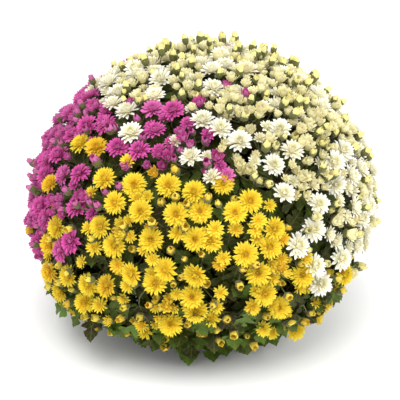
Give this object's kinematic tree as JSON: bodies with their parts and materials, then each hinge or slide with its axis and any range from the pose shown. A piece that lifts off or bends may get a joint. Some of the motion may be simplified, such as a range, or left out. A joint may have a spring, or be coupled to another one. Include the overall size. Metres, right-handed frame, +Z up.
{
  "type": "pot chrysanthemum",
  "caption": "Potted garden chrysanthemum: a dense dome of small yellow, magenta and white blooms over cut green leaves, three plants grown together in a low round pot.",
  "frame": {"origin": "middle of the pot's underside, on the surface that the pot stands on", "axes": "+Z up; the side that the picture shows faces -Y, with the yellow plant low on that side, the magenta plant to -X and the white plant to +X and behind"},
  "size_m": [0.486, 0.4837, 0.4099],
  "materials": {
    "yellow_petals": "matte petals",
    "magenta_petals": "matte petals",
    "white_petals": "matte petals",
    "foliage": "satin leaf",
    "pot_plastic": "satin",
    "potting_soil": "rough peat"
  },
  "bodies": {
    "root": {"magenta_leafy_stems": "foliage", "magenta_spray_01": "magenta_petals", "magenta_spray_02": "magenta_petals", "magenta_spray_03": "magenta_petals", "magenta_spray_04": "magenta_petals", "magenta_spray_05": "magenta_petals", "magenta_spray_06": "magenta_petals", "magenta_spray_07": "magenta_petals", "magenta_spray_08": "magenta_petals", "magenta_spray_09": "magenta_petals", "pot": "pot_plastic", "soil": "potting_soil", "white_leafy_stems": "foliage", "white_spray_01": "white_petals", "white_spray_02": "white_petals", "white_spray_03": "white_petals", "white_spray_04": "white_petals", "white_spray_05": "white_petals", "white_spray_06": "white_petals", "white_spray_07": "white_petals", "white_spray_08": "white_petals", "white_spray_09": "white_petals", "white_spray_10": "white_petals", "white_spray_11": "white_petals", "white_spray_12": "white_petals", "white_spray_13": "white_petals", "white_spray_14": "white_petals", "white_spray_15": "white_petals", "white_spray_16": "white_petals", "white_spray_17": "white_petals", "white_spray_18": "white_petals", "yellow_leafy_stems": "foliage", "yellow_spray_01": "yellow_petals", "yellow_spray_02": "yellow_petals", "yellow_spray_03": "yellow_petals", "yellow_spray_04": "yellow_petals", "yellow_spray_05": "yellow_petals", "yellow_spray_06": "yellow_petals", "yellow_spray_07": "yellow_petals", "yellow_spray_08": "yellow_petals"}
  },
  "joints": []
}
